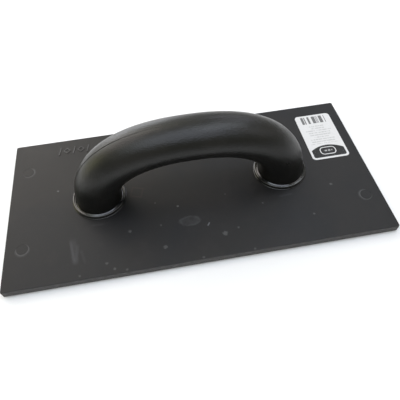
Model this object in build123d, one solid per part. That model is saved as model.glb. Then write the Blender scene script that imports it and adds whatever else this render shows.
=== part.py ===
from build123d import *
import math
import os

# A moulded plastic hand float: a flat board, a hollow arched handle in two halves, and
# what fastens them. Millimetres. The working face lies in the plane z = 0, the origin is
# its centre, X runs along the board, Y across it and Z up through the handle.

# Board
BOARD_LENGTH = 270.0
BOARD_WIDTH = 130.0
BOARD_THICKNESS = 6.0
BOARD_CORNER_RADIUS = 1.4
BOARD_TOP_ROUND = 0.4
BOARD_FACE_ROUND = 1.0

# Handle: its centreline is a superellipse, and its section is an ellipse that changes
# from a circle at each foot to the oval of the grip
FOOT_PITCH = 137.4
FOOT_RADIUS = 16.8
HANDLE_RISE = 48.8
ARCH_POWER = 2.31
GRIP_HALF_WIDTH = 16.9
GRIP_HALF_DEPTH = 13.6
GRIP_BLEND_POWER = 1.5
HANDLE_WALL = 3.0
HANDLE_SECTIONS = 17
SEAM_GAP = 0.1

# Pegs that line up the two halves
PEG_RADIUS = 2.0
PEG_REACH = 4.5
PEG_BOSS_WALL = 2.0
PEG_CLEARANCE = 0.1
PEG_END_CLEARANCE = 0.5
PEG_STATIONS = (0.2, 0.5, 0.8)

# Collars round the feet
COLLAR_WIDTH = 3.2
COLLAR_HEIGHT = 3.0
COLLAR_SKIRT = 0.4
COLLAR_SKIRT_HEIGHT = 0.6
COLLAR_TOP_ROUND = 0.9
COLLAR_LIP_DEPTH = 1.3
COLLAR_LIP_HEIGHT = 1.2
COLLAR_CLEARANCE = 0.1

# Spigots on the board that locate the feet, and the floor moulded in each foot
SPIGOT_RADIUS = 9.5
SPIGOT_HEIGHT = 2.0
SPIGOT_CLEARANCE = 0.2
FOOT_FLOOR = 6.0

# Inserts that take the screws
INSERT_ACROSS_FLATS = 12.0
INSERT_FLANGE_RADIUS = 8.5
INSERT_FLANGE_HEIGHT = 2.5
INSERT_NECK_HEIGHT = 4.0
INSERT_CLEARANCE = 0.1
INSERT_DRAW_GAP = 0.3

# Screws, washers and the plugs that close their holes
SCREW_RADIUS = 2.5
SCREW_LENGTH = 14.0
SCREW_HEAD_RADIUS = 4.75
SCREW_HEAD_HEIGHT = 2.0
SCREW_HEAD_ROUND = 0.7
SCREW_TIP_CHAMFER = 1.0
SCREW_THREAD_CLEARANCE = 0.05
SCREW_HOLE_CLEARANCE = 0.25
SCREW_END_CLEARANCE = 1.0
DRIVE_SLOT_LENGTH = 4.6
DRIVE_SLOT_WIDTH = 1.0
DRIVE_SLOT_DEPTH = 1.2
WASHER_RADIUS = 6.0
WASHER_THICKNESS = 1.0
COUNTERBORE_CLEARANCE = 0.6
PLUG_THICKNESS = 1.5
PLUG_SIDE_CLEARANCE = 0.05
PLUG_HEAD_GAP = 0.2
PLUG_BEVEL = 0.3

# Label on the top of the board
LABEL_LENGTH = 29.7
LABEL_WIDTH = 49.4
LABEL_THICKNESS = 0.15
LABEL_CORNER_RADIUS = 3.0
LABEL_END_MARGIN = 7.8
LABEL_SIDE_MARGIN = 12.0

# Marks moulded in the top of the board: the crescent groove left by each ejector pin,
# widest on the side it is turned to, and a row of raised bars and diamonds
EJECTOR_RADIUS = 4.6
EJECTOR_GROOVE = 1.1
EJECTOR_OFFSET = 0.45
EJECTOR_DEPTH = 0.12
EJECTOR_END_MARGIN = 12.0
EJECTOR_SIDE_MARGIN = 30.0
EJECTOR_MARKS = ((-1, -1, -80), (-1, 1, -30), (1, -1, 200), (1, 1, 90))
MARK_ROW = ("bar", "diamond", "bar", "diamond", "bar")
MARK_PITCH = 5.6
MARK_LENGTH = 8.0
MARK_STROKE = 0.9
MARK_HEIGHT = 0.3
MARK_SLANT = 12.0
DIAMOND_SIDE = 4.4
MARKS_FROM_LEFT_END = 47.0
MARKS_FROM_BACK = 12.0

ARCH_SAMPLES = 2000
FEET = (("left", -FOOT_PITCH / 2), ("right", FOOT_PITCH / 2))


def cylinder(radius, low, high, x=0.0, y=0.0):
    """An upright cylinder between two heights."""
    return Pos(x, y, (low + high) / 2) * Cylinder(radius, high - low)


def rounded_plate(length, width, thickness, corner_radius):
    """A plate on the plane z = 0 with its four corners rounded in plan."""
    plate = Pos(0, 0, thickness / 2) * Box(length, width, thickness)
    return fillet(plate.edges().filter_by(Axis.Z), corner_radius)


# Heights through one fastening, from the working face up
head_low = PLUG_THICKNESS + PLUG_HEAD_GAP
head_high = head_low + SCREW_HEAD_HEIGHT
washer_high = head_high + WASHER_THICKNESS
counterbore_radius = WASHER_RADIUS + COUNTERBORE_CLEARANCE
screw_hole_radius = SCREW_RADIUS + SCREW_HOLE_CLEARANCE
screw_tip = head_high + SCREW_LENGTH
spigot_top = BOARD_THICKNESS + SPIGOT_HEIGHT
pocket_top = spigot_top + SPIGOT_CLEARANCE
floor_top = pocket_top + FOOT_FLOOR
insert_low = spigot_top + INSERT_DRAW_GAP
insert_high = floor_top + INSERT_FLANGE_HEIGHT + INSERT_NECK_HEIGHT


def arch_point(angle):
    """Centreline point in X and Z, from -90 degrees at the left foot to 90 at the right."""
    reach = abs(math.sin(angle)) ** (2 / ARCH_POWER)
    climb = abs(math.cos(angle)) ** (2 / ARCH_POWER)
    return FOOT_PITCH / 2 * math.copysign(reach, angle), BOARD_THICKNESS + HANDLE_RISE * climb


def arch_tangent(x, z):
    """Direction of the centreline, towards the right foot, at one of its points."""
    out = math.copysign((abs(x) / (FOOT_PITCH / 2)) ** (ARCH_POWER - 1), x) / (FOOT_PITCH / 2)
    up = ((z - BOARD_THICKNESS) / HANDLE_RISE) ** (ARCH_POWER - 1) / HANDLE_RISE
    return Vector(up, 0, -out).normalized()


def arch_stations(fractions):
    """Centreline points at the given fractions of its length."""
    angles = [math.pi * (i / ARCH_SAMPLES - 0.5) for i in range(ARCH_SAMPLES + 1)]
    points = [arch_point(angle) for angle in angles]
    travelled = [0.0]
    for start, end in zip(points, points[1:]):
        travelled.append(travelled[-1] + math.dist(start, end))
    found = []
    for fraction in fractions:
        target = fraction * travelled[-1]
        index = min(range(len(points)), key=lambda i: abs(travelled[i] - target))
        found.append(points[index])
    return found


def section_plane(x, z):
    """Plane across the arch, with its own X pointing out of the arch."""
    tangent = arch_tangent(x, z)
    return Plane(origin=(x, 0, z), x_dir=(-tangent.Z, 0, tangent.X), z_dir=tangent)


def arch_solid(inset):
    """The handle's outside, drawn in by an inset, as one solid arch."""
    fractions = [i / (HANDLE_SECTIONS - 1) for i in range(HANDLE_SECTIONS)]
    sections = []
    for fraction, (x, z) in zip(fractions, arch_stations(fractions)):
        grip = math.sin(math.pi * fraction) ** GRIP_BLEND_POWER
        half_width = FOOT_RADIUS + (GRIP_HALF_WIDTH - FOOT_RADIUS) * grip - inset
        half_depth = FOOT_RADIUS + (GRIP_HALF_DEPTH - FOOT_RADIUS) * grip - inset
        sections.append(section_plane(x, z) * Ellipse(half_depth, half_width))
    return loft(sections)


def half_space(side):
    """Everything on one side of the seam: side is -1 for the front and 1 for the rear."""
    reach = 2 * (BOARD_WIDTH + FOOT_PITCH + HANDLE_RISE)
    return Pos(0, side * (reach + SEAM_GAP) / 2, 0) * Box(reach, reach, reach)


def cross_cylinder(radius, x, z, start, end):
    """A cylinder along Y between two values of y."""
    return Pos(x, (start + end) / 2, z) * Rot(90, 0, 0) * Cylinder(radius, abs(end - start))


def insert_blank(clearance, low, high, x):
    """The six-sided body of an insert, or with a clearance the hole that it fits."""
    across = INSERT_ACROSS_FLATS + 2 * clearance
    hexagon = RegularPolygon(across / math.sqrt(3), 6)
    return Pos(x, 0, low) * extrude(hexagon, high - low)


def foot_hollows(x):
    """What is cut from the underside of one foot: collar lip, spigot and insert."""
    rebate_top = BOARD_THICKNESS + COLLAR_LIP_HEIGHT + COLLAR_CLEARANCE
    rebate = cylinder(FOOT_RADIUS * 2, 0, rebate_top, x)
    rebate -= cylinder(FOOT_RADIUS - COLLAR_LIP_DEPTH, 0, rebate_top, x)
    pocket = cylinder(SPIGOT_RADIUS + SPIGOT_CLEARANCE, 0, pocket_top, x)
    hole = insert_blank(INSERT_CLEARANCE, 0, floor_top, x)
    return rebate + pocket + hole


def handle_half(side, outside, hollow):
    """One moulded half of the handle, with its pegs (rear) or sockets (front)."""
    half = (outside - hollow) & half_space(side)
    face = side * SEAM_GAP / 2
    boss_end = side * GRIP_HALF_WIDTH
    for x, z in arch_stations(PEG_STATIONS):
        boss_radius = PEG_RADIUS + PEG_CLEARANCE + PEG_BOSS_WALL
        half += cross_cylinder(boss_radius, x, z, face, boss_end) & outside
        if side > 0:
            half += cross_cylinder(PEG_RADIUS, x, z, face, -PEG_REACH)
        else:
            socket_end = -PEG_REACH - PEG_END_CLEARANCE
            half -= cross_cylinder(PEG_RADIUS + PEG_CLEARANCE, x, z, 0, socket_end)
    for _, x in FEET:
        half -= foot_hollows(x)
    return half


def handle_halves():
    """The front and rear halves of the handle."""
    outside = arch_solid(0.0)
    above_floors = Pos(0, 0, floor_top + HANDLE_RISE) * Box(
        FOOT_PITCH + 4 * FOOT_RADIUS, 4 * FOOT_RADIUS, 2 * HANDLE_RISE)
    hollow = arch_solid(HANDLE_WALL) & above_floors
    return handle_half(-1, outside, hollow), handle_half(1, outside, hollow)


def ejector_grooves():
    """The crescent grooves near the corners of the board."""
    grooves = []
    x = BOARD_LENGTH / 2 - EJECTOR_END_MARGIN
    y = BOARD_WIDTH / 2 - EJECTOR_SIDE_MARGIN
    low = BOARD_THICKNESS - EJECTOR_DEPTH
    for side_x, side_y, turn in EJECTOR_MARKS:
        core_x = side_x * x - EJECTOR_OFFSET * math.cos(math.radians(turn))
        core_y = side_y * y - EJECTOR_OFFSET * math.sin(math.radians(turn))
        groove = cylinder(EJECTOR_RADIUS, low, spigot_top, side_x * x, side_y * y)
        core_radius = EJECTOR_RADIUS - EJECTOR_GROOVE / 2
        grooves.append(groove - cylinder(core_radius, low, spigot_top, core_x, core_y))
    return grooves


def raised_marks():
    """The row of raised bars and diamonds near the back left corner of the board."""
    marks = []
    height = MARK_HEIGHT + BOARD_THICKNESS / 2
    z = BOARD_THICKNESS + MARK_HEIGHT - height / 2
    for index, kind in enumerate(MARK_ROW):
        x = MARKS_FROM_LEFT_END + (index - len(MARK_ROW) // 2) * MARK_PITCH - BOARD_LENGTH / 2
        if kind == "diamond":
            inside = DIAMOND_SIDE - 2 * MARK_STROKE
            mark = Box(DIAMOND_SIDE, DIAMOND_SIDE, height) - Box(inside, inside, height)
            mark = Rot(0, 0, 45) * mark
        else:
            mark = Rot(0, 0, -MARK_SLANT) * Box(MARK_STROKE, MARK_LENGTH, height)
        marks.append(Pos(x, BOARD_WIDTH / 2 - MARKS_FROM_BACK, z) * mark)
    return marks


def float_board():
    """The moulded board, with a spigot and a counterbored screw hole under each foot."""
    board = rounded_plate(BOARD_LENGTH, BOARD_WIDTH, BOARD_THICKNESS, BOARD_CORNER_RADIUS)
    board = fillet(board.edges().group_by(Axis.Z)[-1], BOARD_TOP_ROUND)
    board = fillet(board.edges().group_by(Axis.Z)[0], BOARD_FACE_ROUND)
    for mark in raised_marks():
        board += mark
    for groove in ejector_grooves():
        board -= groove
    for _, x in FEET:
        board += cylinder(SPIGOT_RADIUS, BOARD_THICKNESS / 2, spigot_top, x)
        board -= cylinder(screw_hole_radius, 0, spigot_top, x)
        board -= cylinder(counterbore_radius, 0, washer_high, x)
    return board


def foot_collar(x):
    """A ring round a foot, with a thin skirt at its base and a lip held under the foot."""
    bore = FOOT_RADIUS + COLLAR_CLEARANCE
    outer = FOOT_RADIUS + COLLAR_WIDTH - COLLAR_SKIRT
    top = BOARD_THICKNESS + COLLAR_HEIGHT
    wall = cylinder(outer, BOARD_THICKNESS, top, x)
    wall = fillet(wall.edges().group_by(Axis.Z)[-1], COLLAR_TOP_ROUND)
    skirt_top = BOARD_THICKNESS + COLLAR_SKIRT_HEIGHT
    skirt = cylinder(outer + COLLAR_SKIRT, BOARD_THICKNESS, skirt_top, x)
    lip_top = BOARD_THICKNESS + COLLAR_LIP_HEIGHT
    lip_bore = FOOT_RADIUS - COLLAR_LIP_DEPTH + COLLAR_CLEARANCE
    ring = wall + skirt
    ring -= cylinder(bore, lip_top, top, x)
    return ring - cylinder(lip_bore, BOARD_THICKNESS, lip_top, x)


def foot_insert(x):
    """A flanged six-sided insert, held in the foot's floor and blind above the screw."""
    body = insert_blank(0.0, insert_low, insert_high, x)
    body += cylinder(INSERT_FLANGE_RADIUS, floor_top, floor_top + INSERT_FLANGE_HEIGHT, x)
    hole_radius = SCREW_RADIUS + SCREW_THREAD_CLEARANCE
    return body - cylinder(hole_radius, insert_low, screw_tip + SCREW_END_CLEARANCE, x)


def fixing_screw(x):
    """A pan head screw that points up, its thread left as a plain shank."""
    shank = cylinder(SCREW_RADIUS, head_high, screw_tip, x)
    shank = chamfer(shank.edges().group_by(Axis.Z)[-1], SCREW_TIP_CHAMFER)
    head = cylinder(SCREW_HEAD_RADIUS, head_low, head_high, x)
    head = fillet(head.edges().group_by(Axis.Z)[0], SCREW_HEAD_ROUND)
    drive = Box(DRIVE_SLOT_LENGTH, DRIVE_SLOT_WIDTH, 2 * DRIVE_SLOT_DEPTH)
    drive += Box(DRIVE_SLOT_WIDTH, DRIVE_SLOT_LENGTH, 2 * DRIVE_SLOT_DEPTH)
    return shank + head - Pos(x, 0, head_low) * drive


def washer(x):
    """The flat washer between a screw's head and the floor of its counterbore."""
    ring = cylinder(WASHER_RADIUS, head_high, washer_high, x)
    return ring - cylinder(screw_hole_radius, head_high, washer_high, x)


def screw_plug(x):
    """The disc that closes a counterbore flush with the working face."""
    disc = cylinder(counterbore_radius - PLUG_SIDE_CLEARANCE, 0, PLUG_THICKNESS, x)
    return chamfer(disc.edges().group_by(Axis.Z)[-1], PLUG_BEVEL)


def label():
    """The sticker on the top of the board, near its back right corner."""
    x = BOARD_LENGTH / 2 - LABEL_END_MARGIN - LABEL_LENGTH / 2
    y = BOARD_WIDTH / 2 - LABEL_SIDE_MARGIN - LABEL_WIDTH / 2
    sheet = rounded_plate(LABEL_LENGTH, LABEL_WIDTH, LABEL_THICKNESS, LABEL_CORNER_RADIUS)
    return Pos(x, y, BOARD_THICKNESS) * sheet


def build():
    """Every node of the object, by name."""
    nodes = {"float_board": float_board(), "label": label()}
    nodes["handle_front_half"], nodes["handle_rear_half"] = handle_halves()
    for side, x in FEET:
        nodes[f"{side}_foot_collar"] = foot_collar(x)
        nodes[f"{side}_foot_insert"] = foot_insert(x)
        nodes[f"{side}_fixing_screw"] = fixing_screw(x)
        nodes[f"{side}_washer"] = washer(x)
        nodes[f"{side}_screw_plug"] = screw_plug(x)
    return nodes


os.makedirs("parts", exist_ok=True)
for name, shape in build().items():
    export_step(shape, f"parts/{name}.step")
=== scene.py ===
import bpy
import bmesh
import math
from mathutils import Matrix, Vector


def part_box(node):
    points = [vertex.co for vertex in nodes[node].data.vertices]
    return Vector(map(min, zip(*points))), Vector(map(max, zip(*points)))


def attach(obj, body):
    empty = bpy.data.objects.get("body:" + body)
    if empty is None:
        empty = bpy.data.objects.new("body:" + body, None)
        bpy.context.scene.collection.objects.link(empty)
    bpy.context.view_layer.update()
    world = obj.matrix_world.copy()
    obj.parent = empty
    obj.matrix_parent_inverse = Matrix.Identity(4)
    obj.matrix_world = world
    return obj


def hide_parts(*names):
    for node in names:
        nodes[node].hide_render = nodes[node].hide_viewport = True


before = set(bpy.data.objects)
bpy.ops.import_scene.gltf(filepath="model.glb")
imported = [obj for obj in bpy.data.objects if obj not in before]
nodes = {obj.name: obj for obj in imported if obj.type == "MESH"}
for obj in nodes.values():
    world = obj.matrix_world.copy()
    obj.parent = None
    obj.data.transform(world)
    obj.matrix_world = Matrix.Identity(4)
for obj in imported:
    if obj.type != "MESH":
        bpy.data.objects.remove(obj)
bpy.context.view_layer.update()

# ---------------------------------------------------------------------------------------
# The board. One flat injection moulding in black plastic, with a matt skin that collects
# dust and rub marks. Its rounded edges, spigots, raised marks and ejector crescent grooves
# are in the moulded part itself, so only its finish is made here, with painted highlights
# on the grooves and a paler, partly painted sheen on its sides.

board_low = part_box("float_board")[0]
board_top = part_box("label")[0].z


class Wire:
    """One socket of a node tree. Arithmetic on it adds Math nodes to the same tree."""

    def __init__(self, socket):
        self.socket = socket
        self.tree = socket.id_data

    def math(self, operation, *others):
        return add(self.tree, "ShaderNodeMath", {"operation": operation}, (self, *others))

    def __add__(self, other):
        return self.math("ADD", other)

    def __sub__(self, other):
        return self.math("SUBTRACT", other)

    def __mul__(self, other):
        return self.math("MULTIPLY", other)

    def __truediv__(self, other):
        return self.math("DIVIDE", other)

    def __pow__(self, other):
        return self.math("POWER", other)

    def __rsub__(self, other):
        return add(self.tree, "ShaderNodeMath", {"operation": "SUBTRACT"}, (other, self))

    def __rtruediv__(self, other):
        return add(self.tree, "ShaderNodeMath", {"operation": "DIVIDE"}, (other, self))

    __radd__ = __add__
    __rmul__ = __mul__


def add(tree, kind, settings=None, sockets=(), output=0):
    """Adds a node, sets it up, feeds its sockets and returns one of its outputs."""
    node = tree.nodes.new(kind)
    for name, value in (settings or {}).items():
        setattr(node, name, value)
    pairs = sockets.items() if isinstance(sockets, dict) else enumerate(sockets)
    for key, value in pairs:
        if isinstance(value, Wire):
            tree.links.new(value.socket, node.inputs[key])
        elif value is not None:
            node.inputs[key].default_value = value
    if len(node.outputs):
        return Wire(node.outputs[output])
    return node


def fade(value, low, high):
    """0 below low, 1 above high and a smooth ramp between; low may be the larger."""
    settings = {"interpolation_type": "SMOOTHSTEP"}
    return add(value.tree, "ShaderNodeMapRange", settings, (value, low, high, 0.0, 1.0))


def noise(place, scale, detail=3.0, roughness=0.5, distortion=0.0):
    """Noise from 0 to 1. Scale is in waves a metre."""
    sockets = {"Vector": place, "Scale": scale, "Detail": detail, "Roughness": roughness,
               "Distortion": distortion}
    return add(place.tree, "ShaderNodeTexNoise", {}, sockets)


def blend(factor, first, second):
    """A colour between two colours."""
    sockets = {0: factor, 6: first, 7: second}
    return add(factor.tree, "ShaderNodeMix", {"data_type": "RGBA"}, sockets, 2)


def stretch(place, size, turn=0.0, centre=(0.0, 0.0, 0.0)):
    """Coordinates from a centre, turned about Z and then scaled."""
    tree = place.tree
    moved = add(tree, "ShaderNodeVectorMath", {"operation": "SUBTRACT"}, (place, centre))
    sockets = {"Vector": moved, "Rotation": (0.0, 0.0, turn)}
    turned = add(tree, "ShaderNodeMapping", {"vector_type": "POINT"}, sockets)
    return add(tree, "ShaderNodeVectorMath", {"operation": "MULTIPLY"}, (turned, size))


def length_of(place):
    """Distance of a coordinate from its own zero."""
    return add(place.tree, "ShaderNodeVectorMath", {"operation": "LENGTH"}, (place,), "Value")


def start_material(name):
    """A new material's empty node tree, and the piece's own coordinates in metres."""
    material = bpy.data.materials.new(name)
    material.use_nodes = True
    material.node_tree.nodes.clear()
    tree = material.node_tree
    return material, tree, add(tree, "ShaderNodeTexCoord", {}, (), "Object")


def relief(tree, height, depth, under=None):
    """A bump of the given depth in metres."""
    sockets = {"Strength": 1.0, "Distance": depth, "Height": height, "Normal": under}
    return add(tree, "ShaderNodeBump", {}, sockets)


def finish_material(material, tree, sockets):
    """Closes a material with one Principled shader."""
    shader = add(tree, "ShaderNodeBsdfPrincipled", {}, sockets)
    add(tree, "ShaderNodeOutputMaterial", {}, {"Surface": shader})
    return material


def dress(piece, material):
    """Puts one material in every slot of a piece."""
    if not piece.material_slots:
        piece.data.materials.append(material)
    for slot in piece.material_slots:
        slot.material = material


def streak(place, start, end, half_width):
    """1 along a short line on the board, ragged and fading at its sides and ends."""
    along = (end[0] - start[0], end[1] - start[1])
    middle = ((start[0] + end[0]) / 2, (start[1] + end[1]) / 2, 0.0)
    size = (2 / math.hypot(*along), 1 / half_width, 0.0)
    local = stretch(place, size, -math.atan2(along[1], along[0]), middle)
    u, v = (add(place.tree, "ShaderNodeSeparateXYZ", {}, (local,), axis) for axis in "XY")
    ragged = v.math("ABSOLUTE") + noise(place, 900.0) * 0.6
    return fade(u.math("ABSOLUTE"), 1.1, 0.6) * fade(ragged, 1.3, 0.5)


# Marks on the top of this board, in metres: dried specks (x, y, radius, strength), rubbed
# streaks (start, end, half width, strength), and where a ringed blotch and a square lie
specks = [(-0.100, 0.012, 0.0011, 0.75), (-0.029, -0.013, 0.0009, 0.35), (-0.013, -0.019, 0.0011, 0.6),
          (-0.027, -0.033, 0.0011, 0.3), (-0.049, -0.034, 0.0016, 0.35), (0.016, -0.048, 0.0024, 0.42),
          (-0.026, -0.051, 0.0020, 0.40), (0.026, -0.045, 0.0011, 0.35), (0.048, -0.028, 0.0010, 0.35),
          (0.102, -0.021, 0.0014, 0.5), (0.081, -0.044, 0.0011, 0.45), (-0.066, -0.056, 0.0014, 0.3),
          (-0.061, -0.061, 0.0013, 0.35), (-0.053, -0.063, 0.0012, 0.3), (-0.084, -0.062, 0.0011, 0.3),
          (-0.002, -0.0635, 0.0012, 0.4), (0.033, -0.0635, 0.0011, 0.35), (0.023, -0.015, 0.0009, 0.3)]
streaks = [((-0.0885, -0.032), (-0.0868, -0.0535), 0.0034, 0.11),
           ((-0.0905, -0.033), (-0.0872, -0.053), 0.0014, 0.14),
           ((-0.0850, -0.037), (-0.0866, -0.0535), 0.0018, 0.09),
           ((-0.0833, -0.042), (-0.0800, -0.054), 0.0014, 0.06),
           ((0.0052, -0.0398), (0.0071, -0.0370), 0.0007, 1.0),
           ((-0.076, -0.0240), (-0.066, -0.0245), 0.0013, 0.09),
           ((0.061, -0.0245), (0.072, -0.0240), 0.0013, 0.09)]
# Painted highlights round the ejector grooves, each a pale crescent for the light caught on one side: where,
# and which way each one is thickest
groove_highlights = [(-0.123, -0.035, -85.0), (-0.123, 0.035, -25.0), (0.123, -0.035, 175.0)]
groove_highlight_radius = 0.0046
blotch_centre, blotch_half_size, blotch_turn = (-0.0063, -0.0332), (0.0078, 0.0042), 0.05
patch_centre, patch_half_size, patch_turn = (-0.0413, -0.0005), 0.0044, 0.3
# Heights above the board's top between which the raised marks are paler
raised_from, raised_to = 0.00022, 0.0006


def blotch_mark(flat, mottle):
    """The ringed rub mark near the middle of the board's front."""
    size = (1 / blotch_half_size[0], 1 / blotch_half_size[1], 0.0)
    ring = length_of(stretch(flat, size, blotch_turn, (*blotch_centre, 0.0)))
    ring = ring + (noise(flat, 420.0) - 0.5) * 0.35
    rubbed = fade(ring, 1.14, 0.86) * (fade(ring, 0.55, 0.90) * 0.45 + 0.55)
    return rubbed * (fade(mottle, 0.30, 0.55) * 0.7 + 0.3)


def patch_mark(flat, cloud):
    """The broken outline of a small square."""
    size = (1 / patch_half_size, 1 / patch_half_size, 0.0)
    local = stretch(flat, size, patch_turn, (*patch_centre, 0.0))
    u, v = (add(flat.tree, "ShaderNodeSeparateXYZ", {}, (local,), axis).math("ABSOLUTE") for axis in "XY")
    square = u.math("MAXIMUM", v)
    return fade(square, 0.70, 0.85) * fade(square, 1.12, 0.98) * fade(cloud, 0.3, 0.6)


def groove_highlight_mark(flat, mottle, centre, turn):
    """A painted highlight: a pale crescent round one ejector groove, thickest on the side it is turned to,
    in degrees.
    """
    local = stretch(flat, (1.0, 1.0, 1.0), -math.radians(turn), (*centre, 0.0))
    away = length_of(local)
    facing = add(flat.tree, "ShaderNodeSeparateXYZ", {}, (local,), "X") / (away + 0.0001)
    width = fade(facing, -0.6, 0.5) * 0.0009 + 0.0001
    line = fade((away - groove_highlight_radius).math("ABSOLUTE") / width, 1.2, 0.4)
    return line * fade(facing, -0.75, 0.1) * (fade(mottle, 0.3, 0.55) * 0.6 + 0.4)


def speck_mark(flat, centre, radius):
    """A dried speck with a ragged edge."""
    away = length_of(stretch(flat, (1.0, 1.0, 1.0), 0.0, (*centre, 0.0)))
    edge = away + (noise(flat, 1100.0) - 0.5) * radius
    return fade(edge, radius, radius * 0.3)


def underside_rubs(place):
    """Two crossing sets of fine rub lines."""
    one_way = fade(noise(stretch(place, (70.0, 1500.0, 1.0), 0.45), 1.0, 3.0, 0.7, 0.3), 0.52, 0.70)
    other_way = fade(noise(stretch(place, (60.0, 1300.0, 1.0), -0.75), 1.0, 3.0, 0.7, 0.3), 0.60, 0.72)
    return one_way.math("MAXIMUM", other_way * 0.7)


def board_plastic():
    material, tree, place = start_material("board_plastic")
    z = add(tree, "ShaderNodeSeparateXYZ", {}, (place,), "Z")
    on_top = fade(z, board_top - 0.0004, board_top - 0.0001)
    on_side = fade(z, board_low.z + 0.0004, board_low.z + 0.0014)
    on_side = on_side * fade(z, board_top - 0.0001, board_top - 0.0006)
    underneath = fade(z, board_low.z + 0.0006, board_low.z + 0.0002)
    flat = stretch(place, (1.0, 1.0, 0.0))
    patches = noise(flat, 15.0, 3.0, 0.55, 0.6)
    cloud = noise(place, 60.0, 5.0, 0.65)
    mottle = noise(place, 210.0, 4.0, 0.7)
    grain = noise(place, 2600.0, 2.0, 0.6)
    fine_dust = fade(noise(place, 1000.0, 3.0, 0.7), 0.64, 0.76)

    cool_black, warm_black = (0.0050, 0.0052, 0.0062, 1), (0.0082, 0.0073, 0.0069, 1)
    colour = blend(fade(patches, 0.38, 0.62), cool_black, warm_black)
    colour = blend(fade(cloud, 0.48, 0.74) * 0.45, colour, (0.0145, 0.0132, 0.0130, 1))
    colour = blend(fade(mottle, 0.58, 0.78) * 0.30, colour, (0.0190, 0.0180, 0.0180, 1))
    colour = blend(fine_dust * 0.16, colour, (0.055, 0.053, 0.051, 1))

    colour = blend(blotch_mark(flat, mottle) * on_top * 0.55, colour, (0.050, 0.050, 0.052, 1))
    colour = blend(patch_mark(flat, cloud) * on_top * 0.35, colour, (0.042, 0.027, 0.025, 1))
    # Painted highlights: a pale crescent on one side of each ejector groove
    for x, y, turn in groove_highlights:
        line = groove_highlight_mark(flat, mottle, (x, y), turn)
        colour = blend(line * on_top * 0.34, colour, (0.060, 0.060, 0.062, 1))
    for start, end, half_width, strength in streaks:
        colour = blend(streak(flat, start, end, half_width) * on_top * strength, colour,
                       (0.110, 0.110, 0.122, 1))
    speckled = fade(noise(flat, 2000.0, 2.0), 0.25, 0.6) * 0.5 + 0.5
    for x, y, radius, strength in specks:
        speck = speck_mark(flat, (x, y), radius) * on_top * strength * speckled
        colour = blend(speck, colour, (0.150, 0.150, 0.150, 1))
    raised = fade(z, board_top + raised_from, board_top + raised_from + 0.00006)
    raised = raised * fade(z, board_top + raised_to, board_top + raised_to - 0.0002)
    colour = blend(raised * (fade(mottle, 0.35, 0.6) * 0.5 + 0.3), colour, (0.075, 0.074, 0.075, 1))
    sunk = fade(z, board_top - 0.00004, board_top - 0.00009) * on_top
    colour = blend(sunk * (fade(cloud, 0.35, 0.6) * 0.6 + 0.2), colour, (0.070, 0.069, 0.070, 1))

    # The sides are paler than the top: partly scuffs along the edges, partly a painted sheen that stands in
    # for the pale floor's reflection
    side_scuffs_and_sheen = noise(stretch(place, (260.0, 260.0, 1800.0)), 1.0, 3.0, 0.6)
    side_colour_and_painted_sheen = blend(fade(side_scuffs_and_sheen, 0.35, 0.7), (0.040, 0.038, 0.038, 1), (0.115, 0.110, 0.108, 1))
    colour = blend(on_side * 0.9, colour, side_colour_and_painted_sheen)
    rubs = underside_rubs(place) * underneath
    residue = fade(noise(place, 38.0, 5.0, 0.62, 1.2), 0.56, 0.66) * underneath
    colour = blend(rubs * 0.55, colour, (0.090, 0.087, 0.084, 1))
    colour = blend(residue * fade(grain, 0.35, 0.6) * 0.30, colour, (0.36, 0.345, 0.32, 1))

    roughness = 0.46 + cloud * 0.14 + fine_dust * 0.2 + rubs * 0.1 + residue * 0.2 + on_side * 0.08
    waves = relief(tree, noise(place, 30.0, 2.0, 0.4), 0.0003)
    skin = relief(tree, grain + cloud * 0.6 - rubs * 0.8, 0.00003, waves)
    return finish_material(material, tree, {
        "Base Color": colour, "Roughness": roughness, "Normal": skin,
        "Specular IOR Level": 0.36})


dress(nodes["float_board"], board_plastic())

# ---------------------------------------------------------------------------------------
# What holds the handle on, up from the working face: a flush plug, a pan head screw and
# its washer in each counterbore, and a nylon insert held in each hollow foot. These are
# the moulded and turned parts themselves; only their finishes are made here.


def plug_plastic():
    material, tree, place = start_material("plug_plastic")
    cloud = noise(place, 260.0, 4.0, 0.6)
    colour = blend(fade(cloud, 0.35, 0.7), (0.012, 0.012, 0.013, 1), (0.024, 0.023, 0.022, 1))
    turning = stretch(place, (1200.0, 260.0, 1.0), 0.35)
    skin = relief(tree, noise(place, 2200.0, 2.0) + noise(turning, 1.0) * 0.7, 0.00003)
    return finish_material(material, tree, {
        "Base Color": colour, "Roughness": 0.42 + cloud * 0.2, "Normal": skin,
        "Specular IOR Level": 0.36})


def zinc_steel():
    material, tree, place = start_material("zinc_steel")
    cloud = noise(place, 420.0, 4.0, 0.6)
    colour = blend(fade(cloud, 0.35, 0.7), (0.60, 0.62, 0.66, 1), (0.72, 0.71, 0.66, 1))
    lines = noise(stretch(place, (400.0, 400.0, 9000.0)), 1.0, 2.0)
    return finish_material(material, tree, {
        "Base Color": colour, "Metallic": 1.0, "Roughness": 0.24 + cloud * 0.2,
        "Normal": relief(tree, lines, 0.00003)})


def insert_nylon():
    material, tree, place = start_material("insert_nylon")
    cloud = noise(place, 300.0, 3.0, 0.5)
    colour = blend(cloud, (0.58, 0.555, 0.50, 1), (0.70, 0.68, 0.62, 1))
    return finish_material(material, tree, {
        "Base Color": colour, "Roughness": 0.38 + cloud * 0.2,
        "Normal": relief(tree, noise(place, 1800.0), 0.00004)})


zinc = zinc_steel()
plug_finish = plug_plastic()
nylon = insert_nylon()
for side in ("left", "right"):
    dress(nodes[f"{side}_screw_plug"], plug_finish)
    dress(nodes[f"{side}_fixing_screw"], zinc)
    dress(nodes[f"{side}_washer"], zinc)
    dress(nodes[f"{side}_foot_insert"], nylon)

# ---------------------------------------------------------------------------------------
# The collars. A glossy black ring round each foot, moulded separately, with a thin skirt
# on the board, an upright wall, a soft top edge and a cove that runs in to the foot.
# Each is held by a lip that the foot clamps to the board.

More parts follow.
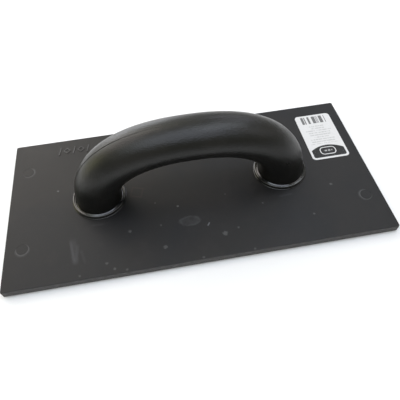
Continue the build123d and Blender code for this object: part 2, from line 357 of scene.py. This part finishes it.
collar_segments = 192
collar_profile_steps = 6
collar_crease = 40.0
collar_clearance = 0.0001
lip_depth, lip_height = 0.0014, 0.0012
lip_lift = 0.0001
cove_radius = 0.0009
cove_inset = 0.0011
top_round = 0.0009
top_inset = 0.0013
bore_edge_drop, cove_rise = 0.0007, 0.0004
wall_inset = 0.0004
skirt_top = 0.0010
skirt_cove_radius = 0.0006
skirt_cove_offset = 0.0002
skirt_round = 0.0003


def arc(centre, radius, start, end, steps=collar_profile_steps):
    """Points on an arc in the profile's plane, angles in degrees."""
    angles = [math.radians(start + (end - start) * i / steps) for i in range(steps + 1)]
    return [(centre[0] + radius * math.cos(a), centre[1] + radius * math.sin(a)) for a in angles]


def face_outward(form):
    """Turns every face of a closed mesh outward."""
    bmesh.ops.recalc_face_normals(form, faces=form.faces)
    if form.calc_volume(signed=True) < 0:
        bmesh.ops.reverse_faces(form, faces=form.faces)


def shade(piece, angle):
    """Smooth shading with the edges over an angle kept sharp."""
    mesh = piece.data
    mesh.polygons.foreach_set("use_smooth", [True] * len(mesh.polygons))
    form = bmesh.new()
    form.from_mesh(mesh)
    for edge in form.edges:
        if len(edge.link_faces) == 2:
            edge.smooth = edge.calc_face_angle() < math.radians(angle)
    form.to_mesh(mesh)
    form.free()


def lathe(name, profile, centre, segments, crease):
    """A closed profile of (radius, height) points turned about an upright axis."""
    mesh = bpy.data.meshes.new(name)
    form = bmesh.new()
    rings = []
    for i in range(segments):
        angle = 2 * math.pi * i / segments
        rings.append([form.verts.new((centre[0] + r * math.cos(angle),
                                      centre[1] + r * math.sin(angle), h)) for r, h in profile])
    for i in range(segments):
        here, after = rings[i], rings[(i + 1) % segments]
        for j in range(len(profile)):
            k = (j + 1) % len(profile)
            form.faces.new((here[j], after[j], after[k], here[k]))
    face_outward(form)
    form.to_mesh(mesh)
    form.free()
    piece = bpy.data.objects.new(name, mesh)
    bpy.context.scene.collection.objects.link(piece)
    shade(piece, crease)
    return piece


def collar_plastic():
    material, tree, place = start_material("collar_plastic")
    cloud = noise(place, 220.0, 4.0, 0.6)
    colour = blend(fade(cloud, 0.4, 0.7), (0.0060, 0.0064, 0.0066, 1), (0.0120, 0.0120, 0.0120, 1))
    ripple = relief(tree, noise(place, 120.0, 2.0, 0.4), 0.00012)
    return finish_material(material, tree, {
        "Base Color": colour, "Roughness": 0.12 + cloud * 0.14,
        "Normal": relief(tree, noise(place, 2400.0), 0.00001, ripple),
        "Specular IOR Level": 0.65, "Coat Weight": 0.4, "Coat Roughness": 0.08})


collar_finish = collar_plastic()
for side in ("left", "right"):
    low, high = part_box(f"{side}_foot_collar")
    outer = (high.x - low.x) / 2
    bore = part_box("handle_rear_half")[1].x - abs(low.x + high.x) / 2 + collar_clearance
    base, top = low.z, high.z
    profile = [(bore - lip_depth, base + lip_lift), (bore - lip_depth, base + lip_height)]
    profile += [(bore, base + lip_height), (bore, top - bore_edge_drop)]
    profile += arc((bore + cove_inset, top - bore_edge_drop + cove_rise), cove_radius, 235, 285)
    profile += arc((outer - top_inset, top - top_round), top_round, 100, 0)
    profile += [(outer - wall_inset, base + skirt_top)]
    profile += arc((outer + skirt_cove_offset, base + skirt_top), skirt_cove_radius, 180, 225)
    profile += arc((outer - skirt_round, base + skirt_round), skirt_round, 60, -80)
    centre = ((low.x + high.x) / 2, 0.0)
    collar = lathe(f"{side}_collar_ring", profile, centre, collar_segments, collar_crease)
    dress(collar, collar_finish)
    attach(collar, "root")
    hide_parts(f"{side}_foot_collar")

# ---------------------------------------------------------------------------------------
# The handle. Two hollow half shells of satin black plastic with a fine grain, welded
# along the upright plane down the middle. Their centreline is a superellipse, and the
# round feet flatten into the oval of the grip.

rear_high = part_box("handle_rear_half")[1]
foot_low, foot_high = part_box("left_foot_insert")
half_pitch = -(foot_low.x + foot_high.x) / 2
foot_radius = rear_high.x - half_pitch
grip_half_depth = 0.0136
arch_power = 2.31
grip_blend_power = 1.5
handle_wall = 0.003
seam_gap = 0.0001
seam_round = 0.00045
arch_rise = rear_high.z - board_top - grip_half_depth
grip_half_width = 0.0169
arch_points = 1601
rows_along = 241
points_round = 240
seam_crowding = 0.94
# The seam closes up along the arch, from one share of its length to another
seam_fade_start, seam_fade_end, seam_fade_share = 0.20, 0.45, 0.93
weld_distance = 2e-6
handle_crease = 35.0


def group_input(tree, names):
    """A geometry tree's inputs as wires: named numbers, and the material named Finish."""
    for name in names:
        tree.interface.new_socket(name, in_out="INPUT", socket_type="NodeSocketFloat")
    tree.interface.new_socket("Finish", in_out="INPUT", socket_type="NodeSocketMaterial")
    node = tree.nodes.new("NodeGroupInput")
    return {name: Wire(node.outputs[name]) for name in (*names, "Finish")}


def rise(value, low, high):
    """0 below low, 1 above high and a straight ramp between; low may be the larger."""
    return add(value.tree, "ShaderNodeMapRange", {}, (value, low, high, 0.0, 1.0))


def crowd(value, share):
    """The same 0 to 1, with its steps crowded towards both ends."""
    return value - (value * (2 * math.pi)).math("SINE") * (share / (2 * math.pi))


def arched_half_tree():
    """Grows one half shell of the handle from its sizes."""
    tree = bpy.data.node_groups.new("arched_half", "GeometryNodeTree")
    names = ("Side", "Half pitch", "Rise", "Power", "Foot radius", "Grip half width",
             "Grip half depth", "Blend power", "Wall", "Base height", "Gap", "Seam round")
    sizes = group_input(tree, names)
    tree.interface.new_socket("Geometry", in_out="OUTPUT", socket_type="NodeSocketGeometry")
    power = sizes["Power"]

    # The centreline, as a curve whose points are moved on to the superellipse
    line = add(tree, "GeometryNodeCurvePrimitiveLine", {}, {"End": (1.0, 0.0, 0.0)})
    line = add(tree, "GeometryNodeResampleCurve", {}, {"Curve": line, "Count": arch_points})
    angle = (add(tree, "GeometryNodeSplineParameter") - 0.5) * math.pi
    exponent = 2.0 / power
    reach = angle.math("SINE").math("ABSOLUTE") ** exponent * angle.math("SIGN")
    climb = angle.math("COSINE").math("ABSOLUTE") ** exponent
    arch_place = add(tree, "ShaderNodeCombineXYZ", {}, (
        reach * sizes["Half pitch"], 0.0, climb * sizes["Rise"] + sizes["Base height"]))
    arch = add(tree, "GeometryNodeSetPosition", {}, {"Geometry": line, "Position": arch_place})

    # A sheet of points: one way along the arch, the other round the shell's section
    sheet = add(tree, "GeometryNodeMeshGrid", {}, (1.0, 1.0, rows_along, points_round))
    place = add(tree, "GeometryNodeInputPosition")
    along, across = (add(tree, "ShaderNodeSeparateXYZ", {}, (place,), axis) for axis in "XY")
    row = (along + 0.5) * (rows_along - 1)
    factor = ((row - 1.0) / (rows_along - 3)).math("MAXIMUM", 0.0).math("MINIMUM", 1.0)
    end = 1.0 - (row - 0.5).math("MINIMUM", (rows_along - 1.5) - row).math("SIGN").math("MAXIMUM", 0.0)
    turn = across + 0.5
    centre = add(tree, "GeometryNodeSampleCurve", {"mode": "FACTOR", "data_type": "FLOAT"},
                 {"Curves": arch, "Factor": factor}, "Position")
    centre_x, centre_z = (add(tree, "ShaderNodeSeparateXYZ", {}, (centre,), axis) for axis in "XZ")

    # Out of the arch, in its own plane, at each point
    slope = power - 1.0
    out = (centre_x.math("ABSOLUTE") / sizes["Half pitch"]) ** slope / sizes["Half pitch"]
    out = out * centre_x.math("SIGN")
    height = (centre_z - sizes["Base height"]).math("MAXIMUM", 0.0)
    up = (height / sizes["Rise"]) ** slope / sizes["Rise"]
    outward = add(tree, "ShaderNodeVectorMath", {"operation": "NORMALIZE"}, (
        add(tree, "ShaderNodeCombineXYZ", {}, (out, 0.0, up)),))

    # Round the section: over the outside, across the wall, back inside and across again
    outer_end, inner_start, inner_end = 0.48, 0.5, 0.98
    going = crowd(rise(turn, 0.0, outer_end), seam_crowding)
    coming = crowd(rise(turn, inner_start, inner_end), seam_crowding)
    bearing = (going - coming) * math.pi
    inset = rise(turn, outer_end, inner_start) - rise(turn, inner_end, 1.0)
    inset = (inset * (1.0 - end) + end * 0.5) * sizes["Wall"]

    # Section sizes, and the small round on each shell's outer edge along the seam
    grip = (factor * math.pi).math("SINE").math("ABSOLUTE") ** sizes["Blend power"]
    half_width = (sizes["Grip half width"] - sizes["Foot radius"]) * grip + sizes["Foot radius"]
    half_depth = (sizes["Grip half depth"] - sizes["Foot radius"]) * grip + sizes["Foot radius"]
    tight = 1.0 - fade(factor, seam_fade_start, seam_fade_end) * seam_fade_share
    edge_round = sizes["Seam round"] * tight
    from_seam = bearing.math("SINE") * half_width / edge_round
    from_seam = (1.0 - from_seam.math("MINIMUM", 1.0)).math("MAXIMUM", 0.0)
    rounding = 1.0 - (1.0 - from_seam * from_seam).math("MAXIMUM", 0.0).math("SQRT")
    outside = rise(turn, inner_start, outer_end)
    inset = inset + rounding * edge_round * outside * (1.0 - end)

    radial = add(tree, "ShaderNodeVectorMath", {"operation": "SCALE"}, {
        0: outward, "Scale": bearing.math("COSINE") * (half_depth - inset)})
    sideways = bearing.math("SINE") * (half_width - inset) + sizes["Gap"] * tight * 0.5
    sideways = add(tree, "ShaderNodeCombineXYZ", {}, (0.0, sideways * sizes["Side"], 0.0))
    spot = add(tree, "ShaderNodeVectorMath", {"operation": "ADD"}, (centre, radial))
    spot = add(tree, "ShaderNodeVectorMath", {"operation": "ADD"}, (spot, sideways))
    shell = add(tree, "GeometryNodeSetPosition", {}, {"Geometry": sheet, "Position": spot})
    shell = add(tree, "GeometryNodeMergeByDistance", {}, {"Geometry": shell, "Distance": weld_distance})
    shell = add(tree, "GeometryNodeRealizeInstances", {}, (shell,))
    sockets = {"Geometry": shell, "Material": sizes["Finish"]}
    shell = add(tree, "GeometryNodeSetMaterial", {}, sockets)
    add(tree, "NodeGroupOutput", {}, (shell,))
    return tree


def grow(name, tree, values):
    """Runs a geometry tree with the given inputs and keeps the result as a plain mesh."""
    seed = bpy.data.objects.new(name, bpy.data.meshes.new(name + "_seed"))
    bpy.context.scene.collection.objects.link(seed)
    modifier = seed.modifiers.new("grow", "NODES")
    modifier.node_group = tree
    for item in tree.interface.items_tree:
        if item.in_out == "INPUT" and item.name in values:
            modifier[item.identifier] = values[item.name]
    bpy.context.view_layer.update()
    evaluated = seed.evaluated_get(bpy.context.evaluated_depsgraph_get())
    mesh = bpy.data.meshes.new_from_object(evaluated)
    seed.modifiers.remove(modifier)
    seed.data = mesh
    mesh.name = name
    return seed


def handle_plastic():
    material, tree, place = start_material("handle_plastic")
    cloud = noise(place, 45.0, 4.0, 0.6)
    pebbles = add(tree, "ShaderNodeTexVoronoi", {"feature": "SMOOTH_F1"}, {
        "Vector": place, "Scale": 950.0, "Smoothness": 0.5})
    grain = noise(place, 1700.0, 3.0, 0.6)
    colour = blend(fade(cloud, 0.4, 0.65), (0.0070, 0.0073, 0.0066, 1), (0.0110, 0.0107, 0.0098, 1))
    # Pale flecks at the scale of the grain: painted glints that stand in for light sparkling off the grain
    colour = blend(fade(noise(place, 1100.0, 3.0, 0.7), 0.64, 0.74) * 0.16, colour,
                   (0.06, 0.06, 0.055, 1))
    rubbed = fade(noise(place, 150.0, 4.0, 0.65), 0.55, 0.75)
    waves = relief(tree, noise(place, 60.0, 2.0), 0.0003)
    return finish_material(material, tree, {
        "Base Color": colour, "Roughness": 0.27 + cloud * 0.08 - rubbed * 0.04,
        "Normal": relief(tree, pebbles + grain, 0.00009, waves),
        "Specular IOR Level": 0.38})


handle_finish = handle_plastic()
half_tree = arched_half_tree()
for name, node, side in (("handle_front", "handle_front_half", -1.0),
                         ("handle_rear", "handle_rear_half", 1.0)):
    half = grow(name, half_tree, {
        "Side": side, "Half pitch": half_pitch, "Rise": arch_rise, "Power": arch_power,
        "Foot radius": foot_radius, "Grip half width": grip_half_width,
        "Grip half depth": grip_half_depth, "Blend power": grip_blend_power,
        "Wall": handle_wall, "Base height": board_top, "Gap": seam_gap,
        "Seam round": seam_round, "Finish": handle_finish})
    form = bmesh.new()
    form.from_mesh(half.data)
    face_outward(form)
    form.to_mesh(half.data)
    form.free()
    shade(half, handle_crease)
    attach(half, "root")
    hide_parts(node)

# ---------------------------------------------------------------------------------------
# The label. A white plastic film sticker near the back right corner, printed in black: a
# strip of bars, faint lines, and a dark arched band with an oval outline in it.

label_low, label_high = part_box("label")
label_centre = (label_low + label_high) / 2
# The print, in millimetres from the label's centre
millimetres = 1000.0
label_border = 1.7
bar_pitch = 0.55
bars_middle, bars_half_size = (0.2, 18.7), (10.6, 4.1)
bars_gap_middle, bars_gap_half = -5.9, 0.9
row_pitch = 2.5
rows_middle, rows_half = 1.6, 10.4
shortest_row, row_spread = 5.0, 6.5
band_crown, band_curve = -10.6, 0.026
band_corner_radius = 1.6
outline_middle, outline_half_size = (-0.3, -16.6), (6.4, 3.9)
outline_corner_radius = 3.2
dash_half_size, dash_corner_radius = (3.6, 0.75), 0.7


def within(value, middle, half, soft=0.12):
    """1 where a value is within half of a middle value, with soft ends."""
    return fade((value - middle).math("ABSOLUTE"), half + soft, half - soft)


def chance(value):
    """A number from 0 to 1 that seems random and stays the same for the same value."""
    settings = {"noise_dimensions": "1D"}
    return add(value.tree, "ShaderNodeTexWhiteNoise", settings, {"W": value}, "Value")


def rounded_box(x, y, middle, half_size, radius):
    """Distance outside a rounded rectangle, below 0 inside it."""
    over_x = ((x - middle[0]).math("ABSOLUTE") - (half_size[0] - radius)).math("MAXIMUM", 0.0)
    over_y = ((y - middle[1]).math("ABSOLUTE") - (half_size[1] - radius)).math("MAXIMUM", 0.0)
    return (over_x * over_x + over_y * over_y).math("SQRT") - radius


def label_film():
    material, tree, place = start_material("label_film")
    spot = stretch(place, (millimetres, millimetres, 0.0), 0.0, (*label_centre.xy, 0.0))
    x, y = (add(tree, "ShaderNodeSeparateXYZ", {}, (spot,), axis) for axis in "XY")

    bars = fade(chance((x / bar_pitch).math("FLOOR") + 40.5), 0.34, 0.36)
    bars = bars * within(x, bars_middle[0], bars_half_size[0])
    bars = bars * within(y, bars_middle[1], bars_half_size[1])
    bars = bars * (1.0 - within(x, bars_gap_middle, bars_gap_half))
    row = (y / row_pitch).math("FLOOR")
    across = add(tree, "ShaderNodeCombineXYZ", {}, (x * 1.1, row * 7.3, 0.0))
    strokes = fade(noise(across, 1.0, 2.0, 0.7), 0.40, 0.50)
    line = within(y / row_pitch - row, 0.5, 0.22, 0.08)
    half_line = chance(row + 9.5) * row_spread + shortest_row
    lines = line * strokes * fade(x.math("ABSOLUTE") - half_line, 0.1, -0.1)
    lines = lines * within(y, rows_middle, rows_half)

    half_width = (label_high.x - label_low.x) / 2 * millimetres - label_border
    half_length = (label_high.y - label_low.y) / 2 * millimetres - label_border
    band_box = rounded_box(x, y, (0.0, 0.0), (half_width, half_length), band_corner_radius)
    below_arch = fade(y + x * x * band_curve - band_crown, 0.12, -0.12)
    band = fade(band_box, 0.1, -0.1) * below_arch
    outline_box = rounded_box(x, y, outline_middle, outline_half_size, outline_corner_radius)
    outline = fade(outline_box, -0.75, -0.60) * fade(outline_box, 0.10, -0.05)
    dash = rounded_box(x, y, outline_middle, dash_half_size, dash_corner_radius)
    dashes = fade(dash, 0.1, -0.1) * fade((x * 2.3).math("SINE"), -0.75, -0.45)

    ink = (bars * 0.80).math("MAXIMUM", lines * 0.30)
    ink = ink.math("MAXIMUM", band * (1.0 - outline) * (1.0 - dashes * 0.55))
    paper = blend(noise(place, 500.0, 3.0), (0.60, 0.60, 0.61, 1), (0.67, 0.67, 0.67, 1))
    paper = blend(fade(noise(place, 120.0, 4.0, 0.65), 0.55, 0.8) * 0.3, paper, (0.50, 0.50, 0.50, 1))
    worn = 1.0 - fade(noise(place, 700.0, 3.0, 0.7), 0.62, 0.75) * 0.35
    colour = blend(ink * worn, paper, (0.013, 0.013, 0.013, 1))
    crease = relief(tree, noise(place, 70.0, 2.0), 0.0002)
    return finish_material(material, tree, {
        "Base Color": colour, "Roughness": 0.46 - ink * 0.08,
        "Normal": relief(tree, noise(place, 1500.0), 0.00001, crease),
        "Specular IOR Level": 0.3})


dress(nodes["label"], label_film())

# ---------------------------------------------------------------------------------------
# The stage: a plain pale floor, soft studio light and the camera.

floor_reach = 3.0
floor_drop = 0.0002
floor_corners = [(x * floor_reach, y * floor_reach, 0) for x, y in ((-1, -1), (1, -1), (1, 1), (-1, 1))]
floor_mesh = bpy.data.meshes.new("floor")
floor_mesh.from_pydata(floor_corners, [], [(0, 1, 2, 3)])
floor = bpy.data.objects.new("floor", floor_mesh)
bpy.context.scene.collection.objects.link(floor)
floor.location.z = -floor_drop
floor_paint, floor_tree, _ = start_material("floor_paint")
finish_material(floor_paint, floor_tree, {
    "Base Color": (0.90, 0.90, 0.90, 1), "Roughness": 0.85, "Specular IOR Level": 0.1})
dress(floor, floor_paint)

world = bpy.data.worlds.new("studio")
bpy.context.scene.world = world
world.use_nodes = True
# A pale wall all round at the height of the horizon, and a dimmer room above it: the sine
# of the climb at which the wall ends, and at which it is at its palest
wall_end, wall_full = 0.26, 0.12
room = world.node_tree
room.nodes.clear()
toward = add(room, "ShaderNodeSeparateXYZ", {}, (add(room, "ShaderNodeTexCoord", {}, (), "Generated"),), "Z")
wall = fade(toward, wall_end, wall_full)
air = blend(wall, (0.32, 0.305, 0.24, 1), (0.52, 0.52, 0.52, 1))
backdrop = add(room, "ShaderNodeBackground", {}, {"Color": air, "Strength": 1.0})
add(room, "ShaderNodeOutputWorld", {}, {"Surface": backdrop})

light_distance = 1.25


def soft_light(name, bearing, climb, width, height, radiance, colour):
    """A soft box that faces the float from a bearing, clockwise from its rear, and a climb."""
    light = bpy.data.lights.new(name, "AREA")
    light.shape = "RECTANGLE"
    light.size = width
    light.size_y = height
    light.energy = radiance * math.pi * width * height
    light.color = colour
    lamp = bpy.data.objects.new(name, light)
    bpy.context.scene.collection.objects.link(lamp)
    turn, lift = math.radians(bearing), math.radians(climb)
    away = Vector((math.sin(turn) * math.cos(lift), math.cos(turn) * math.cos(lift), math.sin(lift)))
    lamp.location = away * light_distance
    lamp.rotation_euler = (-away).to_track_quat("-Z", "Y").to_euler()


soft_light("window", -40.0, 20.0, 0.7, 0.5, 2.7, (1.03, 1.0, 0.97))
soft_light("window_rear", -15.0, 10.0, 0.7, 0.4, 3.3, (0.98, 1.0, 1.05))
soft_light("window_side", -75.0, 16.0, 0.7, 0.6, 1.15, (1.02, 1.0, 0.52))
soft_light("window_top", -45.0, 45.0, 1.0, 0.6, 2.2, (1.08, 0.98, 0.95))
soft_light("window_top_rear", -15.0, 44.0, 0.6, 0.5, 1.3, (1.02, 1.02, 0.87))
soft_light("panel_rear", 32.0, 32.0, 0.7, 0.3, 2.1, (0.93, 0.96, 1.14))
soft_light("highlight", 55.0, 65.0, 0.45, 0.7, 3.2, (0.92, 1.0, 1.10))
soft_light("panel_right", 95.0, 42.0, 0.7, 0.7, 0.7, (1.0, 0.98, 1.05))
soft_light("ceiling", 180.0, 80.0, 1.2, 1.0, 1.75, (0.90, 0.97, 1.17))
soft_light("ceiling_left", -110.0, 65.0, 0.8, 0.8, 0.9, (0.92, 1.03, 1.0))

camera = bpy.data.cameras.new("camera")
camera.lens = 36.94
camera.sensor_width = 36.0
camera.shift_x = 0.014
camera.shift_y = -0.0075
camera_place = Vector((-0.0220, -0.1922, 0.2489))
camera_forward = Vector((0.0736, 0.5916, -0.8029))
camera_up = Vector((0.1556, 0.7884, 0.5952))
view = bpy.data.objects.new("camera", camera)
bpy.context.scene.collection.objects.link(view)
camera_right = camera_forward.cross(camera_up).normalized()
camera_up = camera_right.cross(camera_forward).normalized()
camera_turn = Matrix((camera_right, camera_up, -camera_forward.normalized())).transposed()
view.matrix_world = Matrix.Translation(camera_place) @ camera_turn.to_4x4()
bpy.context.scene.camera = view
bpy.context.scene.view_settings.view_transform = "Standard"
